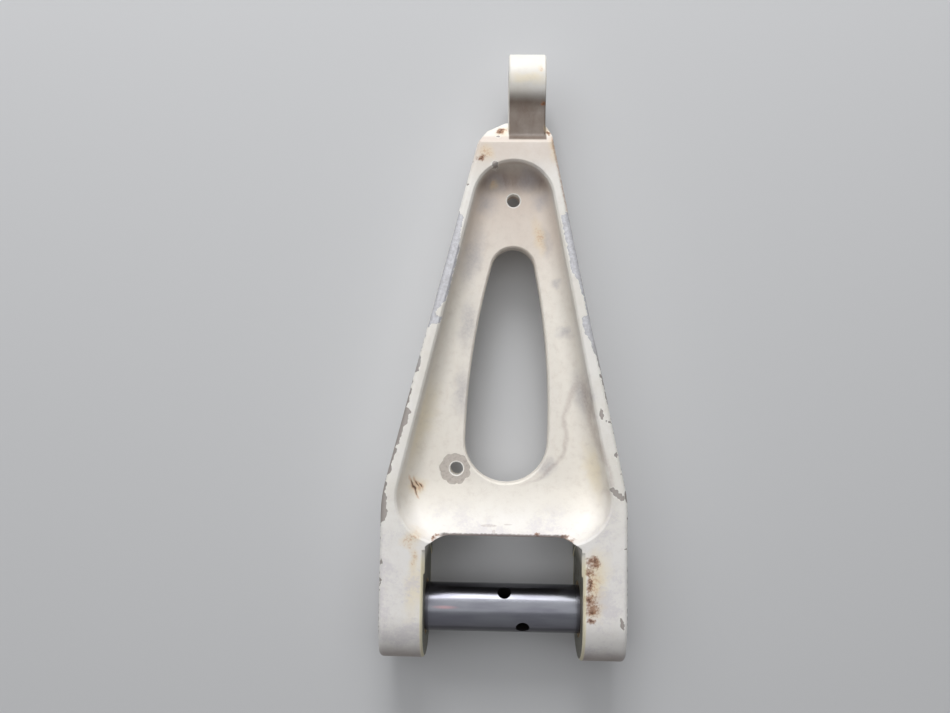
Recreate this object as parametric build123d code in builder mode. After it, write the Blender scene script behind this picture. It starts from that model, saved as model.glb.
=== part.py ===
from build123d import *
import os
from math import asin, atan2, cos, hypot, radians, sin, tan

# Landing gear torque knee: a forged and machined link that lies on its back.
# X runs along the pivot pin, Y runs from the pin up to the apex, Z faces forward.
# The origin is the middle of the pivot pin's axis. Sizes are millimetres.

# Clevis at the foot
ear_radius = 19.75
ear_outer_half_width = 49.75
ear_face_setback = 2.05
ear_seat_radius = 14.5
ear_edge_chamfer = 1.2
gap_half_width = 30.5
gap_depth = 31.4
gap_corner_drop = 3.4
gap_corner_radius = 17.0
gap_small_corner_radius = 1.5
spotface_radius = 25.0
spotface_depth = 0.5

# Body between the clevis and the apex, outline at the parting plane
side_start_height = 47.0
side_blend_radius = 55.0
shoulder_height = 189.5
shoulder_half_depth = 11.4
crown_rise = 11.0
crown_half_depth = 2.0
crown_left_reach = 1.0
crown_right_reach = 0.5
crown_fall = 1.3
left_shoulder_x = -13.3
left_shoulder_bevel = 4.2
left_shoulder_rise = 6.3
right_shoulder_x = 18.6
right_shoulder_rise = 4.0
shoulder_corner_round = 2.0
draft_angle = 5.0
rim_outer_round = 2.0
rim_inner_bevel = 0.8

# Dished pocket on both faces
web_half_thickness = 3.5
pocket_top_radius = 15.4
pocket_top_x = 2.5
pocket_top_drop = 23.9
left_rim_width = 4.55
right_rim_width = 6.05
pocket_foot_drop = 0.4
pocket_corner_radius = 16.0
pocket_floor_round = 7.5
ramp_radius = 30.0
ramp_crest_half_depth = 13.0

# Teardrop lightening slot
slot_low_radius = 17.0
slot_low_x = 0.8
slot_low_height = 68.0
slot_high_radius = 9.0
slot_high_x = 2.7
slot_top_drop = 26.7
slot_side_radius = 300.0
slot_edge_bevel = 0.7

# Small holes through the web
web_hole_diameter = 5.4
upper_hole_x = 2.6
upper_hole_rise = 1.8
lower_hole_x = -19.4
lower_hole_height = 56.8

# Apex eye, beside the centreline so that the mating knee's eye fits next to it
eye_face_x = 0.0
eye_width = 15.2
eye_radius = 12.7
eye_rise = 16.0
eye_edge_bevel = 0.5
neck_half_depth = 8.0
neck_blend_radius = 9.0
neck_root_round = 2.5

# Pivot pin and its cross holes
pin_diameter = 19.05
pin_bore_diameter = 9.75
pin_end_inset = 0.6
pin_end_chamfer = 0.8
pin_running_clearance = 0.04
cross_hole_diameter = 5.5
cross_hole_a_x = 0.75
cross_hole_a_angle = 52.0
cross_hole_b_x = 8.25
cross_hole_b_angle = -38.0

# Bushes
ear_bush_wall = 1.6
apex_bush_bore_diameter = 9.6
apex_bush_wall = 1.55
bush_end_inset = 0.3

# How far cutting shapes run past what they cut
cut_margin = 1.0

# Margins and slopes used to pick faces, edges and corners by place
pick_margin = 1.0
pick_tolerance = 0.01
wall_slope_limit = 0.1
level_slope_limit = 0.8

# Values worked out from the sizes above
crown_height = shoulder_height + crown_rise
eye_height = crown_height + eye_rise
pocket_top_height = shoulder_height - pocket_top_drop
pocket_foot_left = left_rim_width - ear_outer_half_width
pocket_foot_right = ear_outer_half_width - right_rim_width
pocket_foot_height = gap_depth - pocket_foot_drop
slot_high_height = pocket_top_height - slot_top_drop
upper_hole_height = pocket_top_height + upper_hole_rise
pin_radius = pin_diameter / 2
ear_bush_inner_radius = pin_radius + pin_running_clearance
ear_bore_radius = ear_bush_inner_radius + ear_bush_wall
apex_bush_inner_radius = apex_bush_bore_diameter / 2
apex_bore_radius = apex_bush_inner_radius + apex_bush_wall
eye_far_x = eye_face_x + eye_width
spotface_x = gap_half_width + spotface_depth
ear_face_x = ear_outer_half_width - ear_face_setback
pin_half_length = ear_face_x - pin_end_inset
foot_end = -ear_radius - cut_margin
ramp_rise = ramp_crest_half_depth - web_half_thickness
ramp_run = (ramp_radius**2 - (ramp_radius - ramp_rise) ** 2) ** 0.5
ramp_start_height = gap_depth + ramp_run
gap_corner_height = gap_depth - gap_corner_drop
gap_corner_run = (gap_corner_radius**2 - (gap_corner_radius - gap_corner_drop) ** 2) ** 0.5
gap_flat_end_x = gap_half_width - gap_corner_run


def tangent_point(centre_x, centre_y, radius, target_x, target_y, side):
    """Point where a line from the target touches a circle, on its left (-1) or right (1)."""
    across = target_x - centre_x
    up = target_y - centre_y
    spread = radians(90) - asin(radius / hypot(across, up))
    turn = atan2(up, across) + side * spread
    return (centre_x + radius * cos(turn), centre_y + radius * sin(turn))


def slot_arc_centre(side):
    """Centre of the slot's long side arc, which encloses both end circles and touches them."""
    span_x = slot_high_x - slot_low_x
    span_y = slot_high_height - slot_low_height
    span = hypot(span_x, span_y)
    from_low = slot_side_radius - slot_low_radius
    from_high = slot_side_radius - slot_high_radius
    along = (from_low**2 - from_high**2 + span**2) / (2 * span)
    across = side * (from_low**2 - along**2) ** 0.5
    unit_x = span_x / span
    unit_y = span_y / span
    return (slot_low_x + along * unit_x - across * unit_y, slot_low_height + along * unit_y + across * unit_x)


def slot_touch(circle_x, circle_y, radius, side):
    """Point where a slot end circle touches the long side arc."""
    arc_x, arc_y = slot_arc_centre(side)
    run = hypot(circle_x - arc_x, circle_y - arc_y)
    return (circle_x + radius * (circle_x - arc_x) / run, circle_y + radius * (circle_y - arc_y) / run)


def side_view(inset):
    """Side view of the body: the ear's round joined to the bevelled shoulder, drawn in by the inset."""
    with BuildSketch() as view:
        Circle(ear_radius)
        with BuildLine():
            Polyline(
                (shoulder_height, shoulder_half_depth),
                (crown_height, crown_half_depth),
                (crown_height, -crown_half_depth),
                (shoulder_height, -shoulder_half_depth),
                close=True,
            )
        make_hull()
        if inset > 0:
            offset(amount=-inset)
    return view.sketch


# Body: the outline drafted both ways from the parting plane, trimmed to the side view
with BuildPart() as body:
    with BuildSketch(Plane.XY) as outline:
        with BuildLine():
            Polyline(
                (-ear_outer_half_width, foot_end),
                (-ear_outer_half_width, side_start_height),
                (left_shoulder_x, shoulder_height),
                (left_shoulder_x + left_shoulder_bevel, shoulder_height + left_shoulder_rise),
                (eye_face_x - crown_left_reach, crown_height),
                (eye_far_x + crown_right_reach, crown_height - crown_fall),
                (right_shoulder_x, shoulder_height + right_shoulder_rise),
                (ear_outer_half_width, side_start_height),
                (ear_outer_half_width, foot_end),
                close=True,
            )
        make_face()
        waist = outline.vertices().filter_by_position(
            Axis.Y, side_start_height - pick_margin, side_start_height + pick_margin
        )
        fillet(waist, side_blend_radius)
        shoulder_corners = outline.vertices().filter_by_position(
            Axis.Y, shoulder_height + pick_margin, shoulder_height + left_shoulder_rise + pick_margin
        )
        fillet(shoulder_corners, shoulder_corner_round)
    extrude(amount=ear_radius + cut_margin)
    flanks = body.faces().filter_by(lambda face: abs(face.normal_at().Z) < wall_slope_limit)
    draft(flanks, Plane.XY, draft_angle)
    mirror(about=Plane.XY)
    with BuildSketch(Plane.YZ):
        add(side_view(0))
    extrude(amount=ear_outer_half_width + cut_margin, both=True, mode=Mode.INTERSECT)

# Everything that the front pocket leaves open, from the web's surface outwards
with BuildPart() as pocket:
    left_top = tangent_point(
        pocket_top_x, pocket_top_height, pocket_top_radius, pocket_foot_left, pocket_foot_height, -1
    )
    right_top = tangent_point(
        pocket_top_x, pocket_top_height, pocket_top_radius, pocket_foot_right, pocket_foot_height, 1
    )
    with BuildSketch(Plane.XY.offset(web_half_thickness)) as pocket_outline:
        with BuildLine():
            Polyline(
                left_top,
                (pocket_foot_left, pocket_foot_height),
                (pocket_foot_right, pocket_foot_height),
                right_top,
            )
            ThreePointArc(right_top, (pocket_top_x, pocket_top_height + pocket_top_radius), left_top)
        make_face()
        feet = pocket_outline.vertices().filter_by_position(
            Axis.Y, pocket_foot_height - pick_margin, pocket_foot_height + pick_margin
        )
        fillet(feet, pocket_corner_radius)
    extrude(amount=ear_radius)
    walls = pocket.faces().filter_by(lambda face: abs(face.normal_at().Z) < wall_slope_limit)
    draft(walls, Plane.XY.offset(web_half_thickness), -draft_angle)
    with BuildSketch(Plane.YZ) as ramp_profile:
        with BuildLine():
            flat = Line((crown_height, web_half_thickness), (ramp_start_height, web_half_thickness))
            ramp = CenterArc((ramp_start_height, web_half_thickness + ramp_radius), ramp_radius, 180, 90)
            Polyline(flat @ 0, (crown_height, web_half_thickness + ramp_radius), ramp @ 0)
        make_face()
    extrude(amount=ear_outer_half_width, both=True, mode=Mode.INTERSECT)
    floor_edges = (
        pocket.edges()
        .filter_by(lambda edge: edge.center().Z < (ramp_crest_half_depth + ear_radius) / 2)
        .filter_by(lambda edge: abs(edge.tangent_at(0.5).Z) < level_slope_limit)
        .filter_by(lambda edge: abs(edge.center().Y - ramp_start_height) > pick_tolerance)
    )
    fillet(floor_edges, pocket_floor_round)

# Apex eye and its neck, with a foot that sits inside the shoulder
with BuildPart() as eye:
    with BuildSketch(Plane.YZ.offset(eye_face_x)) as eye_profile:
        with Locations((eye_height, 0)):
            Circle(eye_radius)
        with Locations(((eye_height + shoulder_height) / 2, 0)):
            Rectangle(eye_height - shoulder_height, 2 * neck_half_depth)
        with BuildLine():
            Polyline(
                (shoulder_height, shoulder_half_depth),
                (crown_height, crown_half_depth),
                (crown_height, -crown_half_depth),
                (shoulder_height, -shoulder_half_depth),
                close=True,
            )
        make_face()
        throats = eye_profile.vertices().filter_by(lambda point: crown_height < point.X < eye_height)
        fillet(throats, neck_blend_radius)
        neck_roots = eye_profile.vertices().filter_by(
            lambda point: shoulder_height < point.X < crown_height and abs(point.Y) > crown_half_depth
        )
        fillet(neck_roots, neck_root_round)
    extrude(amount=eye_width)
    eye_cheeks = eye.faces().filter_by(Axis.X)
    chamfer(eye_cheeks[0].edges() + eye_cheeks[1].edges(), eye_edge_bevel)

# Cutter that breaks the right ear's inner edge, all round the ear
with BuildPart() as ear_edge_cutter:
    with BuildSketch(Plane.YZ.offset(gap_half_width)):
        Rectangle(2 * (gap_corner_height - gap_small_corner_radius), 2 * (ear_radius + cut_margin))
    extrude(amount=ear_edge_chamfer)
    with BuildSketch(Plane.YZ.offset(gap_half_width)):
        add(side_view(ear_edge_chamfer))
    extrude(amount=ear_edge_chamfer, taper=-45, mode=Mode.SUBTRACT)

# The whole forging: the body and the eye, with the machined and forged hollows taken out
with BuildPart() as knee_forging:
    add(body.part)
    outer_rim = (
        knee_forging.edges()
        .filter_by(lambda edge: abs(edge.center().Z) > (web_half_thickness + shoulder_half_depth) / 2)
        .filter_by(lambda edge: abs(edge.tangent_at(0.5).Z) < level_slope_limit or edge.center().Y < 0)
        .filter_by(lambda edge: edge.center().Y < shoulder_height - pick_tolerance)
        .filter_by(lambda edge: abs(edge.center().X) > right_shoulder_x)
    )
    fillet(outer_rim, rim_outer_round)
    add(pocket.part, mode=Mode.SUBTRACT)
    add(mirror(pocket.part, about=Plane.XY, mode=Mode.PRIVATE), mode=Mode.SUBTRACT)
    sloped_faces = knee_forging.faces().filter_by(GeomType.PLANE).filter_by(
        lambda face: abs(face.normal_at().Z) > level_slope_limit
    )
    raised_faces = sloped_faces.filter_by(lambda face: abs(face.center().Z) > web_half_thickness + pick_margin)
    rims = raised_faces.filter_by(lambda face: len(face.inner_wires()) > 0)
    pocket_lips = rims[0].inner_wires()[0].edges() + rims[1].inner_wires()[0].edges()
    chamfer(pocket_lips, rim_inner_bevel)
    add(eye.part)

    with BuildSketch(Plane.XY) as slot:
        with BuildLine():
            low_left = slot_touch(slot_low_x, slot_low_height, slot_low_radius, 1)
            high_left = slot_touch(slot_high_x, slot_high_height, slot_high_radius, 1)
            low_right = slot_touch(slot_low_x, slot_low_height, slot_low_radius, -1)
            high_right = slot_touch(slot_high_x, slot_high_height, slot_high_radius, -1)
            RadiusArc(low_left, high_left, -slot_side_radius)
            ThreePointArc(high_left, (slot_high_x, slot_high_height + slot_high_radius), high_right)
            RadiusArc(high_right, low_right, -slot_side_radius)
            ThreePointArc(low_right, (slot_low_x, slot_low_height - slot_low_radius), low_left)
        make_face()
    extrude(amount=ear_radius, both=True, mode=Mode.SUBTRACT)
    slot_edges = (
        knee_forging.edges(Select.LAST)
        .filter_by(lambda edge: abs(edge.center().Z) > web_half_thickness / 2)
        .filter_by(lambda edge: edge.geom_type != GeomType.LINE)
    )
    chamfer(slot_edges, slot_edge_bevel)
    with Locations((upper_hole_x, upper_hole_height), (lower_hole_x, lower_hole_height)):
        Hole(web_hole_diameter / 2)

    with BuildSketch(Plane.XY) as gap:
        with BuildLine():
            Polyline(
                (-gap_half_width, gap_corner_height),
                (-gap_half_width, foot_end),
                (gap_half_width, foot_end),
                (gap_half_width, gap_corner_height),
            )
            RadiusArc((gap_half_width, gap_corner_height), (gap_flat_end_x, gap_depth), -gap_corner_radius)
            Line((gap_flat_end_x, gap_depth), (-gap_flat_end_x, gap_depth))
            RadiusArc((-gap_flat_end_x, gap_depth), (-gap_half_width, gap_corner_height), -gap_corner_radius)
        make_face()
        gap_corners = gap.vertices().filter_by_position(
            Axis.Y, gap_corner_height - pick_tolerance, gap_corner_height + pick_tolerance
        )
        fillet(gap_corners, gap_small_corner_radius)
    extrude(amount=ear_radius + cut_margin, both=True, mode=Mode.SUBTRACT)
    add(ear_edge_cutter.part, mode=Mode.SUBTRACT)
    add(mirror(ear_edge_cutter.part, about=Plane.YZ, mode=Mode.PRIVATE), mode=Mode.SUBTRACT)
    for side in (-1, 1):
        with BuildSketch(Plane.YZ.offset(side * gap_half_width)):
            Circle(spotface_radius)
        extrude(amount=side * spotface_depth, mode=Mode.SUBTRACT)
        with BuildSketch(Plane.YZ.offset(side * ear_face_x)):
            Circle(ear_seat_radius)
        extrude(amount=side * (ear_face_setback + cut_margin), mode=Mode.SUBTRACT)
    with BuildSketch(Plane.YZ):
        Circle(ear_bore_radius)
    extrude(amount=ear_outer_half_width + cut_margin, both=True, mode=Mode.SUBTRACT)
    with BuildSketch(Plane.YZ.offset(eye_face_x)):
        with Locations((eye_height, 0)):
            Circle(apex_bore_radius)
    extrude(amount=eye_width, mode=Mode.SUBTRACT)

# Pivot pin: a hollow pin that turns in the ears, with two grease holes through its wall
with BuildPart() as pivot_pin:
    with BuildSketch(Plane.YZ):
        Circle(pin_radius)
        Circle(pin_bore_diameter / 2, mode=Mode.SUBTRACT)
    extrude(amount=pin_half_length, both=True)
    end_circles = pivot_pin.edges().filter_by(GeomType.CIRCLE)
    pin_ends = end_circles.filter_by(lambda edge: edge.radius > pin_radius - pick_tolerance)
    chamfer(pin_ends, pin_end_chamfer)
    for hole_x, angle in ((cross_hole_a_x, cross_hole_a_angle), (cross_hole_b_x, cross_hole_b_angle)):
        outward = (0, sin(radians(angle)), cos(radians(angle)))
        with BuildSketch(Plane(origin=(hole_x, 0, 0), x_dir=(1, 0, 0), z_dir=outward)):
            Circle(cross_hole_diameter / 2)
        extrude(amount=pin_radius + cut_margin, mode=Mode.SUBTRACT)

# Bushes pressed into the ears and into the eye
with BuildPart() as right_ear_bush:
    with BuildSketch(Plane.YZ.offset(spotface_x + bush_end_inset)):
        Circle(ear_bore_radius)
        Circle(ear_bush_inner_radius, mode=Mode.SUBTRACT)
    extrude(amount=ear_face_x - spotface_x - 2 * bush_end_inset)

with BuildPart() as left_ear_bush:
    add(mirror(right_ear_bush.part, about=Plane.YZ, mode=Mode.PRIVATE))

with BuildPart() as apex_bush:
    with BuildSketch(Plane.YZ.offset(eye_face_x + bush_end_inset)):
        with Locations((eye_height, 0)):
            Circle(apex_bore_radius)
            Circle(apex_bush_inner_radius, mode=Mode.SUBTRACT)
    extrude(amount=eye_width - 2 * bush_end_inset)

os.makedirs("parts", exist_ok=True)

knee_forging.part.label = "knee_forging"
export_step(knee_forging.part, "parts/knee_forging.step")

pivot_pin.part.label = "pivot_pin"
export_step(pivot_pin.part, "parts/pivot_pin.step")

left_ear_bush.part.label = "left_ear_bush"
export_step(left_ear_bush.part, "parts/left_ear_bush.step")

right_ear_bush.part.label = "right_ear_bush"
export_step(right_ear_bush.part, "parts/right_ear_bush.step")

apex_bush.part.label = "apex_bush"
export_step(apex_bush.part, "parts/apex_bush.step")
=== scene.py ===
import logging
from dataclasses import dataclass
from enum import Enum
from functools import reduce
from math import cos, pi, radians, sin, tan
from operator import add
from typing import Union

import bpy
from mathutils import Euler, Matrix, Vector


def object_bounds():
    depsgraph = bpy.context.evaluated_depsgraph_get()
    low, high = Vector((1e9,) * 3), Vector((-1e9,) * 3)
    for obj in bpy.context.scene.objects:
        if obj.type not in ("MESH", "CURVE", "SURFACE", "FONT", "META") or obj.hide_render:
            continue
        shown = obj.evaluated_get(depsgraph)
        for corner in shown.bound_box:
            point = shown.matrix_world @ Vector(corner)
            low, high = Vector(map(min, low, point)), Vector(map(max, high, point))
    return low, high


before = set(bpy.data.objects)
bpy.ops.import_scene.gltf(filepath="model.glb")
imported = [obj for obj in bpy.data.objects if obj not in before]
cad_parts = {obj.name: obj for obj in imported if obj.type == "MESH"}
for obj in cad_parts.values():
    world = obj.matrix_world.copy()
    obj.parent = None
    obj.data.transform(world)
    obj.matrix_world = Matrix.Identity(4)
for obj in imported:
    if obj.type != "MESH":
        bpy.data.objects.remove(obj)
cad_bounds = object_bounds()

LOG = logging.getLogger("torque_knee")
MM = 0.001

Colour = tuple[float, float, float, float]
Spot = tuple[float, float]
Triple = tuple[float, float, float]
Number = Union["Value", float]
Place = Union[bpy.types.NodeSocket, Triple]
Tint = Union[bpy.types.NodeSocket, Colour]


def paint(red: int, green: int, blue: int) -> Colour:
    """Turns a paint colour, written as on a colour card from 0 to 255, into light values.

    Args:
        red: Red part of the colour.
        green: Green part of the colour.
        blue: Blue part of the colour.

    Returns:
        The linear colour with full opacity.
    """
    straight_limit, straight_slope = 0.04045, 12.92
    offset, power = 0.055, 2.4
    values = []
    for part in (red, green, blue):
        share = part / 255
        if share <= straight_limit:
            values.append(share / straight_slope)
        else:
            values.append(((share + offset) / (1 + offset)) ** power)
    return (values[0], values[1], values[2], 1.0)


class Bend(Enum):
    """How a drawn curve goes through its points."""

    CORNERED = "VECTOR"
    SMOOTH = "AUTO"


class Border(Enum):
    """How a mark ends: broken paint has a crisp border, a stain fades out."""

    CRISP = "crisp"
    FADING = "fading"


class Lean(Enum):
    """Direction of a mark's long axis in degrees, and how many times longer than wide it is."""

    ROUND = (0.0, 1.0)
    LEVEL = (0.0, 3.0)
    UPRIGHT = (86.0, 3.0)
    LEFT_RIM = (75.6, 3.0)
    RIGHT_RIM = (-78.0, 3.0)
    SCRATCH = (-66.0, 5.0)
    DASH = (0.0, 7.0)


@dataclass(frozen=True)
class Patch:
    """An oval mark on the face of a piece, in millimetres."""

    x: float
    y: float
    half_width: float
    lean: Lean = Lean.ROUND

    def centre(self) -> Triple:
        """Works out the middle of the mark in the drawn out coordinates of its lean.

        Returns:
            The middle as a vector.
        """
        turn, stretch = self.lean.value
        along = self.x * cos(radians(turn)) + self.y * sin(radians(turn))
        across = self.y * cos(radians(turn)) - self.x * sin(radians(turn))
        return (along / stretch, across, 0.0)


class Value:
    """One number that varies over a surface. Arithmetic on it adds Math nodes."""

    def __init__(self, graph: "Graph", socket: bpy.types.NodeSocket) -> None:
        """Wraps a socket of a graph."""
        self.graph = graph
        self.socket = socket

    def __add__(self, other: Number) -> "Value":
        """Adds."""
        return self.graph.math("ADD", self, other)

    def __radd__(self, other: float) -> "Value":
        """Adds, with the number first."""
        return self.graph.math("ADD", other, self)

    def __sub__(self, other: Number) -> "Value":
        """Subtracts."""
        return self.graph.math("SUBTRACT", self, other)

    def __rsub__(self, other: float) -> "Value":
        """Subtracts from a number."""
        return self.graph.math("SUBTRACT", other, self)

    def __mul__(self, other: Number) -> "Value":
        """Multiplies."""
        return self.graph.math("MULTIPLY", self, other)

    def __rmul__(self, other: float) -> "Value":
        """Multiplies, with the number first."""
        return self.graph.math("MULTIPLY", other, self)

    def __abs__(self) -> "Value":
        """Drops the sign."""
        return self.graph.math("ABSOLUTE", self)

    def rise(self, low: float, high: float) -> "Value":
        """Goes smoothly from 0 at low to 1 at high.

        Args:
            low: Value at which the result is 0.
            high: Value at which the result is 1.

        Returns:
            The eased share.
        """
        node = self.graph.node(
            "ShaderNodeMapRange",
            {"interpolation_type": "SMOOTHSTEP"},
            {"Value": self, "From Min": low, "From Max": high},
        )
        return Value(self.graph, node.outputs["Result"])

    def fall(self, low: float, high: float) -> "Value":
        """Goes smoothly from 1 at low to 0 at high."""
        return 1 - self.rise(low, high)


class Graph:
    """The node tree of one material or of the world."""

    def __init__(self, tree: bpy.types.NodeTree) -> None:
        """Takes over a tree and clears it."""
        self.tree = tree
        self.tree.nodes.clear()

    def node(self, kind: str, settings: dict | None = None, sockets: dict | None = None) -> bpy.types.Node:
        """Adds a node.

        Args:
            kind: Blender's name of the node type.
            settings: The node's own settings.
            sockets: Values or links by the identifier of the socket that takes them.

        Returns:
            The new node.
        """
        node = self.tree.nodes.new(kind)
        for name, value in (settings or {}).items():
            setattr(node, name, value)
        inputs = {socket.identifier: socket for socket in node.inputs}
        for identifier, value in (sockets or {}).items():
            link = value.socket if isinstance(value, Value) else value
            if isinstance(link, bpy.types.NodeSocket):
                self.tree.links.new(link, inputs[identifier])
            else:
                inputs[identifier].default_value = link
        return node

    def math(self, operation: str, first: Number, second: Number = 0.0, third: Number = 0.0) -> Value:
        """Adds a Math node.

        Args:
            operation: Name of the operation.
            first: First value.
            second: Second value.
            third: Third value, which few operations read.

        Returns:
            The result.
        """
        values = {"Value": first, "Value_001": second, "Value_002": third}
        node = self.node("ShaderNodeMath", {"operation": operation}, values)
        return Value(self, node.outputs[0])

    def least(self, first: Number, second: Number) -> Value:
        """Takes the smaller of two values."""
        return self.math("MINIMUM", first, second)

    def most(self, first: Number, second: Number) -> Value:
        """Takes the larger of two values."""
        return self.math("MAXIMUM", first, second)

    def reach(self, across: Value, up: Value) -> Value:
        """Measures the straight way to a point that lies so far across and so far up."""
        return self.math("SQRT", across * across + up * up)

    def vector(self, operation: str, first: Place, second: Place) -> bpy.types.NodeSocket:
        """Adds a Vector Math node with a vector as its result.

        Args:
            operation: Name of the operation.
            first: First vector.
            second: Second vector.

        Returns:
            The resulting vector.
        """
        places = {"Vector": first, "Vector_001": second}
        return self.node("ShaderNodeVectorMath", {"operation": operation}, places).outputs["Vector"]

    def parts(self, vector: Place) -> tuple[Value, Value, Value]:
        """Takes a vector apart.

        Args:
            vector: The vector.

        Returns:
            Its three numbers.
        """
        node = self.node("ShaderNodeSeparateXYZ", {}, {"Vector": vector})
        x, y, z = (Value(self, socket) for socket in node.outputs)
        return x, y, z

    def mix(self, share: Number, base: Tint, top: Tint) -> bpy.types.NodeSocket:
        """Lays one colour over another.

        Args:
            share: How much of the top colour shows.
            base: Colour below.
            top: Colour above.

        Returns:
            The mixed colour.
        """
        node = self.node(
            "ShaderNodeMix", {"data_type": "RGBA"}, {"Factor_Float": share, "A_Color": base, "B_Color": top}
        )
        return next(socket for socket in node.outputs if socket.identifier == "Result_Color")

    def noise(self, point: Place, size: float, detail: float, roughness: float = 0.5) -> bpy.types.Node:
        """Adds a noise pattern.

        Args:
            point: Place in millimetres.
            size: Size of its features in millimetres.
            detail: How many finer layers it has.
            roughness: How strong the finer layers are.

        Returns:
            The noise node.
        """
        sockets = {"Vector": point, "Scale": 1 / size, "Detail": detail, "Roughness": roughness}
        return self.node("ShaderNodeTexNoise", {}, sockets)

    def stirred(self, point: Place, size: float, reach: float, detail: float) -> bpy.types.NodeSocket:
        """Moves a point about, so that what is drawn with it gets a ragged border.

        Args:
            point: Place in millimetres.
            size: Size of the raggedness in millimetres.
            reach: How far a point moves at most, in millimetres.
            detail: How many finer layers the raggedness has.

        Returns:
            The moved point.
        """
        middle = (0.5, 0.5, 0.5)
        noise_stray = 0.25
        swing = reach / noise_stray
        shift = self.vector("SUBTRACT", self.noise(point, size, detail).outputs["Color"], middle)
        return self.vector("ADD", point, self.vector("MULTIPLY", shift, (swing, swing, swing)))

    def squeezed(self, point: Place, along: Triple) -> bpy.types.NodeSocket:
        """Scales a point by axis, so that a pattern is drawn out where the factor is small."""
        return self.vector("MULTIPLY", point, along)

    def turned(self, point: Place, lean: Lean) -> bpy.types.NodeSocket:
        """Reads a point along the direction of a lean, drawn out along it.

        Args:
            point: Place in millimetres.
            lean: The direction, and how many times longer a pattern gets along it.

        Returns:
            The point, with its first number along the direction.
        """
        turn, stretch = lean.value
        node = self.node(
            "ShaderNodeMapping",
            {"vector_type": "TEXTURE"},
            {"Vector": point, "Rotation": (0.0, 0.0, radians(turn)), "Scale": (stretch, 1.0, 1.0)},
        )
        return node.outputs["Vector"]

    def inside(self, point: Place, marks: list[Patch], border: Border) -> Value:
        """Tells how far inside the nearest mark a point lies.

        Args:
            point: Place in millimetres. Its height is ignored.
            marks: The marks.
            border: Crisp gives millimetres from the border, fading gives a share that is 1 in the middle.

        Returns:
            The greatest value over the marks, negative outside them all.
        """
        flat = self.squeezed(point, (1.0, 1.0, 0.0))
        views: dict[Lean, bpy.types.NodeSocket] = {}
        nearest = None
        for mark in marks:
            if mark.lean not in views:
                views[mark.lean] = self.turned(flat, mark.lean)
            away = self.node(
                "ShaderNodeVectorMath",
                {"operation": "DISTANCE"},
                {"Vector": views[mark.lean], "Vector_001": mark.centre()},
            ).outputs["Value"]
            middle = mark.half_width if border is Border.CRISP else 1.0
            depth = self.math("MULTIPLY_ADD", Value(self, away), -middle / mark.half_width, middle)
            nearest = depth if nearest is None else self.most(nearest, depth)
        return nearest

    def curve(self, place: Value, points: list[Spot], bend: Bend) -> Value:
        """Looks a length up in a drawn curve.

        Args:
            place: Place along the curve in millimetres, from 0 to the last point's.
            points: Place and length of each point of the curve, with rising places.
            bend: Whether the curve bends smoothly or has corners.

        Returns:
            The length at the place.
        """
        span = points[-1][0]
        node = self.node("ShaderNodeFloatCurve", {}, {"Value": place * (1 / span)})
        drawn = node.mapping.curves[0].points
        while len(drawn) < len(points):
            drawn.new(1.0, 0.0)
        for handle, (along, height) in zip(drawn, points):
            handle.location = (along / span, height / span)
            handle.handle_type = bend.value
        node.mapping.update()
        return Value(self, node.outputs[0]) * span

    def principled(self, sockets: dict) -> bpy.types.Node:
        """Adds the shader of a surface, with its sockets by their identifiers."""
        return self.node("ShaderNodeBsdfPrincipled", {}, sockets)


@dataclass(frozen=True)
class Grain:
    """A noise pattern.

    Attributes:
        size: Size of its features in millimetres.
        detail: How many finer layers it has.
        roughness: How strong the finer layers are.
        squeeze: Factor by axis. The pattern is drawn out where the factor is small.
    """

    size: float
    detail: float
    roughness: float = 0.5
    squeeze: Triple | None = None

    def at(self, graph: Graph, point: Place) -> Value:
        """Gives the pattern's value at a point.

        Args:
            graph: The material's nodes.
            point: Place in millimetres.

        Returns:
            The value, of about 0 to 1.
        """
        if self.squeeze is not None:
            point = graph.squeezed(point, self.squeeze)
        return Value(graph, graph.noise(point, self.size, self.detail, self.roughness).outputs[0])


@dataclass(frozen=True)
class Relief:
    """A grain that stands up from a surface, and its height in millimetres."""

    grain: Grain
    height: float

    def at(self, graph: Graph, point: Place) -> Value:
        """Gives the height at a point."""
        return self.grain.at(graph, point) * self.height


@dataclass(frozen=True)
class Specks:
    """How a mark breaks up into specks: weight of the mark, weight of a grain, and what is taken off."""

    mark: float
    grain: float
    less: float

    def of(self, mark: Value, grain: Value) -> Value:
        """Gives a value that is above 0 within a speck."""
        return mark * self.mark + grain * self.grain - self.less


@dataclass(frozen=True)
class Layer:
    """A colour that lies over another, and how much of it shows at most."""

    colour: Colour
    cover: float

    def over(self, graph: Graph, share: Value, tone: Tint) -> bpy.types.NodeSocket:
        """Lays the colour over a tone."""
        return graph.mix(share * self.cover, tone, self.colour)


@dataclass(frozen=True)
class Stretch:
    """A stretch of a length in millimetres: where a mark fades in, and where it fades out."""

    enter: Spot
    leave: Spot

    def share(self, place: Value) -> Value:
        """Gives 1 within the stretch and 0 outside it."""
        return place.rise(*self.enter) * place.fall(*self.leave)


class Surface:
    """Place and direction of a point on a piece, in millimetres, for a finish to read."""

    def __init__(self, graph: Graph) -> None:
        """Reads the piece's own coordinates.

        Args:
            graph: The material's nodes.
        """
        coordinates = graph.node("ShaderNodeTexCoord")
        in_metres = {"Vector": coordinates.outputs["Object"], "Scale": 1 / MM}
        scaled = graph.node("ShaderNodeVectorMath", {"operation": "SCALE"}, in_metres)
        self.point = scaled.outputs["Vector"]
        self.x, self.y, self.z = graph.parts(self.point)
        self.toward_x, _, self.toward_z = graph.parts(coordinates.outputs["Normal"])


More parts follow.
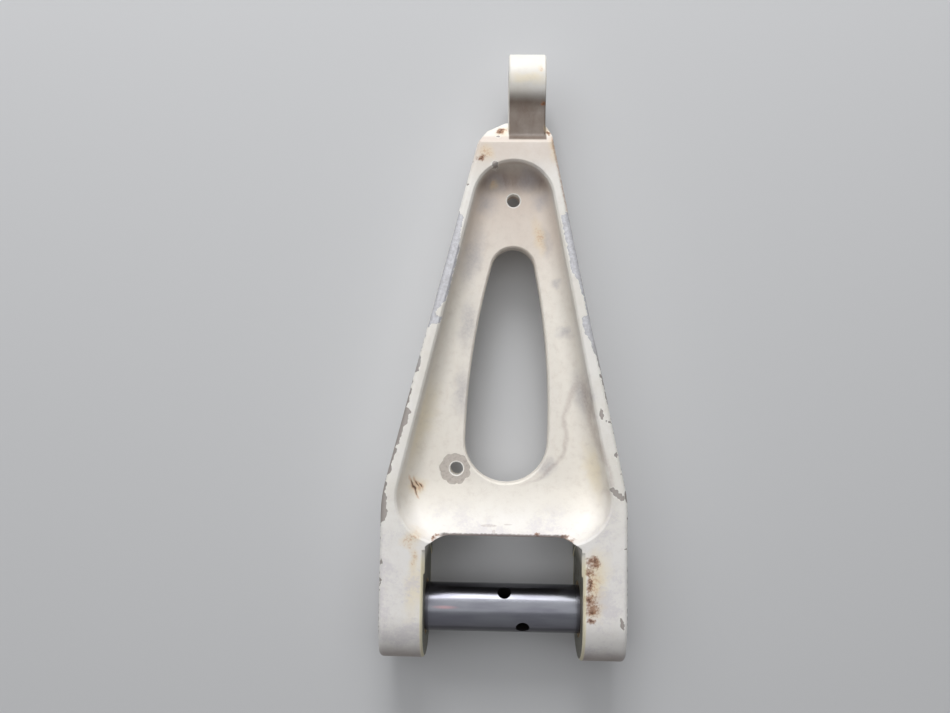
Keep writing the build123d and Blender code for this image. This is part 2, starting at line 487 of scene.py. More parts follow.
class Finish:
    """A finish that fills one material's nodes."""

    name = "finish"

    def material(self) -> bpy.types.Material:
        """Makes the material.

        Returns:
            The finished material.
        """
        material = bpy.data.materials.new(self.name)
        material.use_nodes = True
        graph = Graph(material.node_tree)
        shader = self.shade(graph, Surface(graph))
        graph.node("ShaderNodeOutputMaterial", {}, {"Surface": shader.outputs[0]})
        return material

    def shade(self, graph: Graph, surface: Surface) -> bpy.types.Node:
        """Builds the shader. Each finish has its own.

        Args:
            graph: The material's nodes.
            surface: Place and direction of the shaded point.

        Returns:
            The shader node.
        """
        raise NotImplementedError

    def bump(
        self, graph: Graph, height: Value, normal: bpy.types.NodeSocket | None = None
    ) -> bpy.types.NodeSocket:
        """Turns a height in millimetres into a normal.

        Args:
            graph: The material's nodes.
            height: Height of the surface in millimetres.
            normal: The normal to start from.

        Returns:
            The new normal.
        """
        sockets = {"Height": height, "Distance": MM, "Strength": 1.0}
        if normal is not None:
            sockets["Normal"] = normal
        return graph.node("ShaderNodeBump", {}, sockets).outputs["Normal"]


# Place along the left rim, and how far inward of its flank the paint is gone there.
LEFT_RIM_LOSS: list[Spot] = [
    (0.0, 0.0), (36.5, 0.0), (37.5, 1.8), (40.0, 2.5), (47.4, 2.2), (48.0, 0.9), (52.6, 0.9), (53.0, 0.1),
    (55.4, 0.1), (55.8, 1.3), (59.0, 1.3), (59.6, 0.2), (60.4, 1.0), (65.6, 1.0), (66.2, 0.6), (68.0, 1.3),
    (74.0, 1.5), (75.4, 2.4), (81.0, 2.5), (81.6, 0.7), (89.0, 0.8), (90.0, 0.1), (95.6, 0.1), (96.2, 1.3),
    (101.4, 1.2), (102.4, 0.0), (113.0, 0.2), (115.0, 1.0), (115.4, 4.7), (118.0, 4.6), (118.6, 2.0),
    (121.5, 2.2), (124.0, 4.2), (130.0, 4.8), (138.0, 4.4), (145.0, 4.2), (150.0, 3.4), (154.0, 2.6),
    (158.5, 2.4), (160.6, 0.0), (200.0, 0.0),
]
# The same along the right rim.
RIGHT_RIM_LOSS: list[Spot] = [
    (0.0, 0.0), (45.9, 0.0), (46.3, 0.9), (49.9, 0.9), (50.3, 0.0), (84.0, 0.0), (85.0, 0.4), (95.0, 0.3),
    (97.0, 0.1), (98.0, 0.6), (102.5, 0.6), (103.0, 0.3), (104.0, 1.5), (110.0, 1.9), (112.0, 3.5),
    (118.5, 3.2), (119.5, 0.9), (125.0, 0.9), (126.0, 0.2), (127.0, 1.3), (133.0, 1.5), (134.5, 2.4),
    (137.0, 3.6), (141.0, 3.5), (147.0, 3.1), (152.0, 3.3), (159.5, 3.1), (160.5, 0.0), (200.0, 0.0),
]
# Place along the forging, and how far right of its middle a thin line of painted shade runs there.
BRANCH_LINE: list[Spot] = [
    (0.0, 4.0), (49.8, 8.3), (53.6, 14.2), (60.0, 21.4), (66.3, 25.1), (79.0, 24.8), (89.5, 28.1),
    (97.0, 30.4), (200.0, 60.0),
]
# The same for the line of painted shade at the foot of the right wall.
RIGHT_WALL_LINE: list[Spot] = [
    (0.0, 0.0), (38.6, 32.6), (42.4, 36.6), (48.0, 40.6), (55.0, 41.6), (62.0, 39.6), (70.0, 36.6),
    (82.0, 33.8), (96.0, 30.9), (200.0, 9.0),
]
# Paint gone from the front, apart from the rims.
CHIPS: list[Patch] = [
    Patch(37.9, 80.4, 0.8, Lean.RIGHT_RIM),
    Patch(42.2, 51.0, 1.1),
    Patch(43.5, 50.0, 1.25),
    Patch(44.8, 48.9, 1.1),
    Patch(46.0, 47.8, 1.0),
    Patch(45.9, 0.2, 0.8, Lean.RIGHT_RIM),
    Patch(-4.1, 192.4, 0.6),
    Patch(-5.3, 180.3, 1.3),
]
# Dark rust on the ears, the head and the crest of the ramp.
DARK_RUST: list[Patch] = [
    Patch(34.6, 23.2, 2.4),
    Patch(33.4, 19.4, 1.8),
    Patch(32.9, 14.6, 1.3, Lean.UPRIGHT),
    Patch(33.2, 8.2, 2.8),
    Patch(34.8, 5.0, 2.4),
    Patch(34.2, 0.6, 1.4),
    Patch(-11.2, 183.2, 1.5),
    Patch(-3.2, 195.6, 1.8),
    Patch(16.7, 194.2, 1.2),
    Patch(13.6, 206.6, 1.4),
    Patch(-27.4, 30.6, 1.0),
    Patch(-25.4, 31.8, 0.7, Lean.LEVEL),
    Patch(13.0, 31.8, 0.5, Lean.LEVEL),
    Patch(25.4, 31.0, 0.8, Lean.LEVEL),
]
# Lighter rust and its halo round the dark rust.
ORANGE_RUST: list[Patch] = [
    Patch(35.0, 15.0, 4.4, Lean.UPRIGHT),
    Patch(35.4, 4.6, 4.0),
    Patch(-8.8, 185.2, 4.2),
    Patch(-2.4, 195.4, 3.4),
    Patch(16.8, 195.2, 2.6),
    Patch(18.6, 186.0, 2.2, Lean.RIGHT_RIM),
    Patch(-35.2, 49.6, 4.6),
    Patch(-35.8, 31.0, 5.0),
    Patch(-34.8, 24.0, 2.4, Lean.UPRIGHT),
    Patch(13.4, 152.0, 3.0, Lean.RIGHT_RIM),
    Patch(13.2, 219.4, 1.6),
    Patch(-5.4, 173.8, 2.6),
]
# Paint that has gone yellow.
CREAM_AREAS: list[Patch] = [
    Patch(-35.0, 76.0, 8.0, Lean.LEFT_RIM),
    Patch(36.6, 16.0, 5.6, Lean.UPRIGHT),
    Patch(-34.2, 12.0, 5.4, Lean.UPRIGHT),
    Patch(36.2, 57.4, 4.6, Lean.RIGHT_RIM),
    Patch(8.0, 215.5, 3.4, Lean.LEVEL),
]
# Scorched scratches at the left end of the ramp.
SCRATCHES: list[Patch] = [
    Patch(-37.3, 50.9, 0.34, Lean.SCRATCH),
    Patch(-36.4, 48.6, 0.42, Lean.SCRATCH),
    Patch(-35.2, 50.6, 0.34, Lean.SCRATCH),
    Patch(-35.5, 46.8, 0.26, Lean.SCRATCH),
    Patch(-33.8, 49.6, 0.22, Lean.SCRATCH),
]
# Smudges on the web and along the pocket's walls.
GREY_SMUDGES: list[Patch] = [
    Patch(-14.0, 143.0, 5.0, Lean.LEFT_RIM),
    Patch(-15.6, 116.0, 4.6, Lean.UPRIGHT),
    Patch(-18.0, 88.0, 4.2, Lean.UPRIGHT),
    Patch(-8.6, 166.0, 6.0),
    Patch(-5.0, 175.4, 6.0),
    Patch(9.0, 176.0, 6.0),
    Patch(13.6, 167.0, 4.6),
    Patch(15.6, 150.0, 2.6, Lean.RIGHT_RIM),
    Patch(20.8, 133.0, 2.4),
    Patch(24.0, 113.0, 3.6),
    Patch(31.4, 88.0, 4.2, Lean.RIGHT_RIM),
    Patch(17.5, 58.0, 5.0),
]
# Small marks on the ramp, near its crest.
RAMP_MARKS: list[Patch] = [
    Patch(-5.8, 34.9, 0.55, Lean.DASH),
    Patch(1.9, 35.4, 0.30, Lean.DASH),
    Patch(-3.8, 32.9, 0.8),
]
# Paint gone from the back.
BACK_CHIPS: list[Patch] = [
    Patch(-39.5, 2.0, 2.4, Lean.LEVEL),
    Patch(40.5, -1.0, 2.1, Lean.LEVEL),
    Patch(8.0, 187.0, 1.3, Lean.LEVEL),
    Patch(6.5, 216.0, 1.6),
]
# Stains on the back.
BACK_STAINS: list[Patch] = [
    Patch(-30.0, 62.0, 6.0, Lean.LEFT_RIM),
    Patch(31.0, 74.0, 6.0, Lean.RIGHT_RIM),
    Patch(2.0, 172.0, 7.5),
    Patch(37.0, 24.0, 4.5, Lean.UPRIGHT),
    Patch(-14.0, 46.0, 3.6, Lean.LEVEL),
]


@dataclass(frozen=True)
class Forging:
    """Sizes of the forging in millimetres, by which its finish finds its places."""

    outer_half_width: float = 49.75
    left_flank_foot: Spot = (-49.75, 47.0)
    left_flank_inward: Spot = (0.9688, -0.2478)
    right_flank_head: Spot = (18.6, 193.5)
    right_flank_inward: Spot = (-0.9782, -0.2080)
    draft_angle: float = 5.0
    ear_radius: float = 19.75
    rim_slope: float = 0.0443
    web_half_thickness: float = 3.5
    hole_radius: float = 2.7
    upper_hole: Spot = (2.6, 167.4)
    lower_hole: Spot = (-19.4, 56.8)
    gap_depth: float = 31.4
    neck_left: float = 0.6
    neck_right: float = 15.3

    def flanks(self, graph: Graph, x: Value, y: Value, depth: Value) -> tuple[Value, Value]:
        """Measures how far inward of the two flanks a point lies.

        Args:
            graph: The material's nodes.
            x: Place across the forging.
            y: Place along the forging.
            depth: Height above or below its middle plane.

        Returns:
            The distances from the left and from the right flank in millimetres.
        """
        draft = depth * tan(radians(self.draft_angle))
        left = self.past(x, y, self.left_flank_foot, self.left_flank_inward)
        right = self.past(x, y, self.right_flank_head, self.right_flank_inward)
        left = graph.least(left, x + self.outer_half_width) - draft
        right = graph.least(right, self.outer_half_width - x) - draft
        return left, right

    @staticmethod
    def past(x: Value, y: Value, start: Spot, direction: Spot) -> Value:
        """Measures how far a point lies past a start, along a direction."""
        return (x - start[0]) * direction[0] + (y - start[1]) * direction[1]

    def below_rim(self, y: Value, depth: Value) -> Value:
        """Measures how far a point lies below the top of the rims."""
        return (self.ear_radius - depth) - y * self.rim_slope


@dataclass(frozen=True)
class Skin:
    """What the forging's finish reads at the shaded point.

    Attributes:
        graph: The material's nodes.
        surface: Place and direction of the point.
        front: 1 on the front side and 0 on the back.
        in_pocket: 1 in the dished pockets.
        crisp: The point, moved about a little.
        loose: The point, moved about further.
        mottle: Fine noise.
        cloud: Broad noise.
        drawn: Noise that is drawn out along the forging.
    """

    graph: Graph
    surface: Surface
    front: Value
    in_pocket: Value
    crisp: bpy.types.NodeSocket
    loose: bpy.types.NodeSocket
    mottle: Value
    cloud: Value
    drawn: Value


@dataclass(frozen=True)
class Uneven:
    """How a share varies over the skin: its least value, and what each noise adds to it."""

    least: float = 0.0
    drawn: float = 0.0
    cloud: float = 0.0
    mottle: float = 0.0

    def share(self, skin: Skin) -> Value:
        """Adds up the share, without the parts that have no weight.

        Args:
            skin: What the finish reads.

        Returns:
            The share.
        """
        noises = ((skin.drawn, self.drawn), (skin.cloud, self.cloud), (skin.mottle, self.mottle))
        parts = [noise * weight for noise, weight in noises if weight]
        return reduce(add, [self.least, *parts] if self.least else parts)


@dataclass(frozen=True)
class WornPaint(Finish):
    """Old cream enamel over a forging: chipped to bare metal along the rims, stained and rust marked, with
    painted shade in places.

    Places and heights are millimetres. A pair of numbers is where a share begins and where it is full.
    """

    name: str = "worn_cream_enamel"
    forging: Forging = Forging()

    fresh: Colour = paint(246, 243, 238)
    aged: Colour = paint(240, 236, 228)
    broken: Colour = paint(250, 248, 242)
    bare: Colour = paint(198, 198, 202)
    bare_dull: Colour = paint(176, 175, 178)
    primed_metal: Colour = paint(160, 153, 148)
    seat: Colour = paint(190, 182, 174)
    seat_dark: Colour = paint(162, 152, 144)
    # Dark machined metal of the ears' inner faces, darkened also as painted shade between the ears.
    machined_and_shaded: Colour = paint(84, 84, 77)
    dust: Colour = paint(206, 195, 184)
    # Brown for the neck below the eye: partly dirt, partly the eye's shadow painted on.
    neck_dirt_and_shadow: Colour = paint(94, 76, 62)
    # Brownish grey for the ears' rounded feet: partly dirt, partly painted shade where they turn down.
    foot_dirt_and_shade: Colour = paint(148, 133, 125)

    pocket: Layer = Layer(paint(248, 242, 232), 0.85)
    ears: Layer = Layer(paint(243, 240, 237), 0.80)
    upper_blush: Layer = Layer(paint(214, 194, 180), 0.85)
    drawn_blush: Layer = Layer(paint(214, 194, 180), 0.16)
    head_blush: Layer = Layer(paint(214, 194, 180), 0.80)
    ochre: Layer = Layer(paint(247, 235, 208), 0.68)
    lilac: Layer = Layer(paint(222, 217, 220), 0.65)
    # Dark brown for the pocket's top wall: partly dirt, partly painted shade under the rim.
    top_wall_dirt_and_shade: Layer = Layer(paint(122, 102, 90), 0.86)
    smudge: Layer = Layer(paint(176, 172, 176), 0.62)
    # Tan for the stains on the back and for the lines of painted shade at the foot of the pocket's walls.
    tan: Layer = Layer(paint(170, 152, 145), 0.50)
    halo: Layer = Layer(paint(238, 214, 170), 0.42)
    orange: Layer = Layer(paint(196, 146, 98), 0.75)
    scratch_edge: Layer = Layer(paint(196, 146, 98), 0.60)
    rust: Layer = Layer(paint(148, 97, 60), 0.80)
    flank_rust: Layer = Layer(paint(148, 97, 60), 0.75)
    dark_rust: Layer = Layer(paint(80, 48, 34), 0.80)
    soot: Layer = Layer(paint(70, 46, 34), 0.90)
    crest: Layer = Layer(paint(66, 46, 41), 0.85)
    primer: Layer = Layer(paint(240, 230, 190), 0.70)

    mottle: Grain = Grain(1.1, 5.0, 0.68)
    cloud: Grain = Grain(18.0, 4.0, 0.6)
    drawn: Grain = Grain(1.0, 4.0, 0.62, (0.55, 0.11, 0.3))
    dust_grain: Grain = Grain(3.2, 6.0, 0.72)
    rust_grain: Grain = Grain(0.9, 5.0, 0.72)
    nick_grain: Grain = Grain(4.6, 3.0, 0.6)
    seat_grain: Grain = Grain(3.0, 1.0)
    peel: Relief = Relief(Grain(2.2, 2.0), 0.045)
    waves: Relief = Relief(Grain(9.0, 2.0), 0.14)
    scale: Relief = Relief(Grain(0.55, 2.0), 0.015)
    paint_height: float = 0.09
    seat_height: float = 0.08

    upper_uneven: Uneven = Uneven(0.40, cloud=0.6)
    top_uneven: Uneven = Uneven(0.55, drawn=0.6)
    ear_uneven: Uneven = Uneven(cloud=0.7, mottle=0.3)
    head_uneven: Uneven = Uneven(0.25, cloud=0.5, mottle=0.3)
    neck_uneven: Uneven = Uneven(0.70, drawn=0.12, cloud=0.30)
    foot_uneven: Uneven = Uneven(0.50, cloud=0.7)
    smudge_uneven: Uneven = Uneven(0.25, mottle=1.2)
    line_uneven: Uneven = Uneven(0.1, mottle=1.1)
    machined_uneven: Uneven = Uneven(0.80, mottle=0.2)

    aged_clouds: Spot = (0.36, 0.64)
    dull_mottle: Spot = (0.35, 0.65)
    seat_mottle: Spot = (0.45, 0.75)
    drawn_dirt: Spot = (0.46, 0.80)
    dust_dirt: Spot = (0.46, 0.76)
    lilac_dirt: Spot = (0.48, 0.60)
    dust_cover: float = 0.18
    pocket_dust_cover: float = 0.12

    front_side: Spot = (-0.6, 0.6)
    pocket_length: Stretch = Stretch((33.0, 50.0), (176.0, 184.0))
    pocket_depth: Spot = (6.5, 11.0)
    pocket_inset: Spot = (1.5, 3.5)
    lower_web: Spot = (50.0, 70.0)
    upper_web: Spot = (118.0, 170.0)
    top_wall: Spot = (167.5, 175.5)
    ears_end: Spot = (26.0, 44.0)
    ear_dirt_end: Spot = (36.0, 52.0)
    foot_end: Spot = (-17.5, -9.0)
    eye_start: Spot = (206.0, 212.0)
    head_length: Stretch = Stretch((172.0, 188.0), (194.0, 199.0))
    head_height: Spot = (8.0, 9.5)
    neck_length: Stretch = Stretch((190.4, 191.6), (206.5, 212.0))
    neck_side_fade: float = 0.6
    neck_facing: Spot = (0.0, 0.3)

    cream_fade: Spot = (-0.1, 0.9)
    smudge_fade: Spot = (-0.2, 1.0)
    halo_fade: Spot = (-0.2, 0.9)
    orange_specks: Specks = Specks(0.8, 3.0, 1.9)
    orange_fade: Spot = (0.0, 0.9)
    orange_near: Spot = (-0.3, 0.3)
    dark_specks: Specks = Specks(1.5, 4.0, 2.25)
    dark_near: Spot = (-0.6, 0.1)
    rust_fade: Spot = (-0.7, 0.6)
    dark_rust_fade: Spot = (0.4, 1.2)
    flank_rust_length: Stretch = Stretch((158.0, 162.0), (189.0, 195.0))
    flank_rust_height: Spot = (7.0, 9.0)
    flank_rust_reach: Spot = (0.9, 1.9)
    flank_rust_mottle: float = 1.6
    scratch_fade: Spot = (-1.2, 0.8)
    scratch_near: Spot = (-2.2, -0.6)
    soot_fade: Spot = (-0.1, 0.5)
    soot_less: float = 0.5
    crest_half_width: Spot = (23.5, 26.0)
    crest_reach: Spot = (1.0, 1.6)
    crest_mottle: float = 1.1
    back_fade: Spot = (0.0, 0.9)
    back_mottle: float = 1.4
    back_less: float = 0.85
    thin_rust: float = 0.5

    branch_length: Stretch = Stretch((48.0, 56.0), (88.0, 98.0))
    right_wall_length: Stretch = Stretch((44.0, 54.0), (88.0, 97.0))
    line_half_width: float = 1.9
    ramp_mark_fade: Spot = (0.0, 0.4)
    ramp_mark_share: float = 1.4

    scraped_length: Stretch = Stretch((92.0, 112.0), (162.0, 168.0))
    front_loss_depth: float = 3.2
    scraped_loss_depth: float = 1.1
    back_loss_depth: float = 4.2
    loss_limit: float = 2.0
    eye_guard: float = 6.0
    eye_guard_start: Spot = (186.0, 194.0)
    nick_least: float = 0.61
    nick_growth: float = 9.0
    nick_fall: float = 0.45
    bare_border: Spot = (-0.05, 0.12)
    lip_border: Spot = (-0.60, -0.10)
    lip_share: float = 0.5

    web_top: Spot = (0.6, 1.6)
    seat_radius: float = 5.3
    seat_shift: Spot = (-0.7, -0.2)
    seat_lobes: float = 4.5
    seat_turn: float = 0.6
    lobe_reach: float = 0.65
    seat_spread: float = 1.3
    seat_border: float = 0.25
    ring_width: Spot = (0.35, 0.55)
    ring_share: float = 0.85
    gap_wall: Stretch = Stretch((29.5, 30.0), (31.8, 32.4))
    gap_end: Spot = (19.4, 28.4)
    gap_height: Spot = (17.15, 17.85)
    gap_facing: Spot = (0.85, 0.95)

    bare_metallic: float = 0.35
    seat_metallic: float = 0.2
    machined_metallic: float = 0.3
    roughness: float = 0.40
    mottle_roughness: float = 0.14
    rust_roughness: float = 0.25
    bare_roughness: float = 0.10
    edge_round: float = 0.55
    bevel_samples: int = 4

    def shade(self, graph: Graph, surface: Surface) -> bpy.types.Node:
        """Builds the paint with its wear.

        Args:
            graph: The material's nodes.
            surface: Place and direction of the shaded point.

        Returns:
            The shader node.
        """
        skin = self.read(graph, surface)
        mottle = skin.mottle
        tone = graph.mix(skin.cloud.rise(*self.aged_clouds), self.fresh, self.aged)
        tone = self.pocket.over(graph, skin.in_pocket, tone)
        tone = self.ears.over(graph, surface.y.fall(*self.ears_end), tone)
        tone = self.age(skin, tone)
        tone, rust = self.stains_and_shade_lines(skin, tone)
        bare, lip = self.chips(skin)
        tone = graph.mix(lip, tone, self.broken)
        metal = graph.mix(mottle.rise(*self.dull_mottle), self.bare, self.bare_dull)
        metal = graph.mix(self.scraped_length.share(surface.y), self.primed_metal, metal)
        tone = graph.mix(bare, tone, metal)

        seat, ring = self.hole_marks(skin)
        tone = graph.mix(seat, tone, graph.mix(mottle.rise(*self.seat_mottle), self.seat, self.seat_dark))
        tone = graph.mix(ring, tone, self.broken)
        machined_and_shaded, primed = self.ear_inside(surface)
        tone = self.primer.over(graph, primed, tone)
        # The ears' inner faces get dark machined metal: partly their bare metal, partly painted shade between
        # the ears.
        tone = graph.mix(machined_and_shaded * self.machined_uneven.share(skin), tone, self.machined_and_shaded)
        metallic = bare * self.bare_metallic + seat * self.seat_metallic
        metallic = metallic + machined_and_shaded * self.machined_metallic
        roughness = self.roughness + mottle * self.mottle_roughness
        roughness = roughness + rust * self.rust_roughness + bare * self.bare_roughness

        height = self.peel.at(graph, surface.point) + self.waves.at(graph, surface.point)
        height = height + self.scale.at(graph, surface.point)
        height = height - bare * self.paint_height - seat * self.seat_height
        rounding = {"Radius": self.edge_round * MM}
        soft = graph.node("ShaderNodeBevel", {"samples": self.bevel_samples}, rounding)
        return graph.principled({
            "Base Color": tone,
            "Metallic": metallic,
            "Roughness": roughness,
            "Normal": self.bump(graph, height, soft.outputs["Normal"]),
        })

    def read(self, graph: Graph, surface: Surface) -> Skin:
        """Reads what the layers of the finish share.

        Args:
            graph: The material's nodes.
            surface: Place and direction of the shaded point.

        Returns:
            The shared values.
        """
        front = surface.z.rise(*self.front_side)
        depth = abs(surface.z)
        in_pocket = depth.fall(*self.pocket_depth) * self.pocket_length.share(surface.y)
        nearer_flank = graph.least(*self.forging.flanks(graph, surface.x, surface.y, depth))
        in_pocket = in_pocket * nearer_flank.rise(*self.pocket_inset)
        crisp = graph.stirred(surface.point, size=1.5, reach=0.5, detail=3.0)
        loose = graph.stirred(surface.point, size=5.0, reach=1.6, detail=4.0)
        return Skin(
            graph=graph,
            surface=surface,
            front=front,
            in_pocket=in_pocket,
            crisp=crisp,
            loose=loose,
            mottle=self.mottle.at(graph, surface.point),
            cloud=self.cloud.at(graph, surface.point),
            drawn=self.drawn.at(graph, loose),
        )

    def age(self, skin: Skin, tone: Tint) -> bpy.types.NodeSocket:
        """Lays the broad, soft changes of tone over the paint, with painted shade on the neck, the pocket's
        top wall and the ears' feet.

        Args:
            skin: What the finish reads.
            tone: Colour so far.

        Returns:
            The colour with its broad changes.
        """
        graph, surface, in_pocket = skin.graph, skin.surface, skin.in_pocket
        dust = self.dust_grain.at(graph, surface.point)
        upper = in_pocket * surface.y.rise(*self.upper_web)
        tone = self.upper_blush.over(graph, upper * self.upper_uneven.share(skin), tone)
        lower = in_pocket * skin.drawn.rise(*self.drawn_dirt) * surface.y.rise(*self.lower_web)
        tone = self.drawn_blush.over(graph, lower, tone)
        on_ears = surface.y.fall(*self.ear_dirt_end) * (1 - in_pocket)
        cream = graph.inside(skin.loose, CREAM_AREAS, Border.FADING).rise(*self.cream_fade)
        cream = cream * (in_pocket + on_ears + surface.y.rise(*self.eye_start))
        tone = self.ochre.over(graph, cream * skin.front, tone)
        dusty = dust.rise(*self.dust_dirt) * (self.dust_cover + in_pocket * self.pocket_dust_cover)
        tone = graph.mix(dusty, tone, self.dust)
        tone = self.lilac.over(graph, on_ears * self.ear_uneven.share(skin).rise(*self.lilac_dirt), tone)
        # Painted shade and dirt: the pocket's top wall under the rim is darkened.
        top = in_pocket * surface.y.rise(*self.top_wall) * self.top_uneven.share(skin)
        tone = self.top_wall_dirt_and_shade.over(graph, top, tone)
        head = self.head_length.share(surface.y) * abs(surface.z).rise(*self.head_height)
        tone = self.head_blush.over(graph, head * self.head_uneven.share(skin), tone)
        # Painted shadow and dirt: the neck's front below the eye is darkened brown, partly for the shadow the
        # eye casts.
        neck_left, neck_right = self.forging.neck_left, self.forging.neck_right
        neck = self.neck_length.share(surface.y) * abs(surface.toward_z).rise(*self.neck_facing)
        neck = neck * surface.x.rise(neck_left - self.neck_side_fade, neck_left)
        neck = neck * surface.x.fall(neck_right, neck_right + self.neck_side_fade)
        tone = graph.mix(neck * self.neck_uneven.share(skin), tone, self.neck_dirt_and_shadow)
        # Painted shade and dirt: the ears' feet darken towards their lowest ends.
        foot = surface.y.fall(*self.foot_end) * self.foot_uneven.share(skin)
        return graph.mix(foot, tone, self.foot_dirt_and_shade)

    def stains_and_shade_lines(self, skin: Skin, tone: Tint) -> tuple[bpy.types.NodeSocket, Value]:
        """Lays smudges, thin lines of painted shade and rust over the paint.

        Args:
            skin: What the finish reads.
            tone: Colour so far.

        Returns:
            The stained colour, and the share of rust.
        """
        graph, surface, front, mottle = skin.graph, skin.surface, skin.front, skin.mottle
        smudges = graph.inside(skin.loose, GREY_SMUDGES, Border.FADING).rise(*self.smudge_fade)
        tone = self.smudge.over(graph, smudges * self.smudge_uneven.share(skin) * front, tone)
        # Painted shade lines where the pocket's floor curves up into its walls.
        halves = (0.5, 0.5, 0.5)
        calm = graph.squeezed(graph.vector("ADD", surface.point, skin.loose), halves)
        lines = self.thin_lines(skin, calm).rise(0.0, 1.0)
        tone = self.tan.over(graph, lines * self.line_uneven.share(skin) * front, tone)
        speck = self.rust_grain.at(graph, surface.point)
        orange_area = graph.inside(skin.loose, ORANGE_RUST, Border.FADING)
        orange = self.orange_specks.of(orange_area, speck).rise(*self.orange_fade)
        orange = orange * orange_area.rise(*self.orange_near) * front
        tone = self.halo.over(graph, orange_area.rise(*self.halo_fade) * front, tone)
        tone = self.orange.over(graph, orange, tone)
        dark_area = graph.inside(skin.loose, DARK_RUST, Border.FADING)
        speckled = self.dark_specks.of(dark_area, speck) * front
        near = dark_area.rise(*self.dark_near)
        brown = speckled.rise(*self.rust_fade) * near
        dark = speckled.rise(*self.dark_rust_fade) * near
        tone = self.rust.over(graph, brown, tone)
        tone = self.dark_rust.over(graph, dark, tone)

        outer = self.forging.flanks(graph, surface.x, surface.y, abs(surface.z))[1]
        outer = (outer + mottle * self.flank_rust_mottle).fall(*self.flank_rust_reach)
        outer = outer * self.flank_rust_length.share(surface.y) * surface.z.rise(*self.flank_rust_height)
        tone = self.flank_rust.over(graph, outer, tone)

        scratch = graph.inside(calm, SCRATCHES, Border.FADING)
        burnt = (scratch + mottle - self.soot_less).rise(*self.soot_fade) * front
        round_scratch = (scratch + mottle).rise(*self.scratch_fade) * scratch.rise(*self.scratch_near) * front
        tone = self.scratch_edge.over(graph, round_scratch, tone)
        tone = self.soot.over(graph, burnt, tone)

        crest = (abs(surface.y - self.forging.gap_depth) + mottle * self.crest_mottle).fall(*self.crest_reach)
        crest = crest * abs(surface.x).fall(*self.crest_half_width)
        tone = self.crest.over(graph, crest, tone)
        under = graph.inside(skin.loose, BACK_STAINS, Border.FADING)
        under = (under + mottle * self.back_mottle - self.back_less).rise(*self.back_fade)
        tone = self.tan.over(graph, under * (1 - front), tone)
        return tone, brown + burnt + crest * self.thin_rust + outer * self.thin_rust

    def thin_lines(self, skin: Skin, calm: bpy.types.NodeSocket) -> Value:
        """Draws the soft lines of painted shade on the pocket's front, which follow its walls, and the marks
        of its ramp.

        Args:
            skin: What the finish reads.
            calm: The point, moved about less than the loose one.

        Returns:
            A share that is 1 in the middle of a line.
        """
        graph, place = skin.graph, skin.surface.y
        x, y, _ = graph.parts(calm)
        branch = 1 - abs(x - graph.curve(y, BRANCH_LINE, Bend.SMOOTH)) * (1 / self.line_half_width)
        branch = graph.least(branch, self.branch_length.share(place))
        right = 1 - abs(x - graph.curve(y, RIGHT_WALL_LINE, Bend.SMOOTH)) * (1 / self.line_half_width)
        right = graph.least(right, self.right_wall_length.share(place))
        lines = graph.most(branch, right)
        marks = graph.inside(skin.surface.point, RAMP_MARKS, Border.FADING)
        return graph.most(lines, marks.rise(*self.ramp_mark_fade) * self.ramp_mark_share)

    def chips(self, skin: Skin) -> tuple[Value, Value]:
        """Breaks the paint off the rims, and leaves it a bright broken border.

        Args:
            skin: What the finish reads.

        Returns:
            The share of bare metal, and the share of broken border.
        """
        graph, surface, front = skin.graph, skin.surface, skin.front
        depth = abs(surface.z)
        x, y, _ = graph.parts(skin.crisp)
        below_rim = self.forging.below_rim(surface.y, depth)
        left, right = self.forging.flanks(graph, x, y, depth)
        left_loss = graph.curve(y, LEFT_RIM_LOSS, Bend.CORNERED) - left
        right_loss = graph.curve(y, RIGHT_RIM_LOSS, Bend.CORNERED) - right
        below_eye = self.loss_limit - surface.y.rise(*self.eye_guard_start) * self.eye_guard
        less_deep = self.front_loss_depth - self.scraped_loss_depth
        reach = self.front_loss_depth - surface.y.rise(*self.scraped_length.enter) * less_deep
        on_rim = graph.least(graph.most(left_loss, right_loss), reach - below_rim)
        on_rim = graph.least(on_rim, below_eye)
        on_front = graph.most(on_rim, graph.inside(skin.crisp, CHIPS, Border.CRISP))
        on_back = graph.inside(skin.crisp, BACK_CHIPS, Border.CRISP)
        on_back = graph.least(on_back, self.back_loss_depth - below_rim)
        chosen = on_front * front + on_back * (1 - front)

        edge = graph.most(graph.least(left, right), below_rim)
        nicks = (self.nick_grain.at(graph, surface.point) - self.nick_least) * self.nick_growth
        nicked = graph.least(nicks - edge * self.nick_fall, below_eye)
        worn = graph.most(chosen, nicked)
        bare = worn.rise(*self.bare_border)
        lip = worn.rise(*self.lip_border) * (1 - bare)
        return bare, lip * self.lip_share

    def hole_marks(self, skin: Skin) -> tuple[Value, Value]:
        """Draws the scalloped bare seat round the lower hole, and the bright edge of both holes.

        Args:
            skin: What the finish reads.

        Returns:
            The share of the seat, and the share of the bright edges.
        """
        graph, surface, forging = skin.graph, skin.surface, self.forging
        web, edge = forging.web_half_thickness, forging.hole_radius
        on_web = skin.front * surface.z.fall(web + self.web_top[0], web + self.web_top[1])
        across = surface.x - forging.lower_hole[0]
        up = surface.y - forging.lower_hole[1]
        away = graph.reach(across, up)
        off_away = graph.reach(across - self.seat_shift[0], up - self.seat_shift[1])
        turn = graph.math("ARCTAN2", up, across)
        lobes = abs(graph.math("SINE", turn * self.seat_lobes + self.seat_turn))
        spread = self.seat_grain.at(graph, skin.crisp) * self.seat_spread
        seat = self.seat_radius + lobes * self.lobe_reach + spread - off_away
        seat = seat.rise(0.0, self.seat_border) * on_web
        upper_away = graph.reach(surface.x - forging.upper_hole[0], surface.y - forging.upper_hole[1])
        ring = graph.least(away, upper_away).fall(edge + self.ring_width[0], edge + self.ring_width[1])
        return seat, ring * on_web * self.ring_share

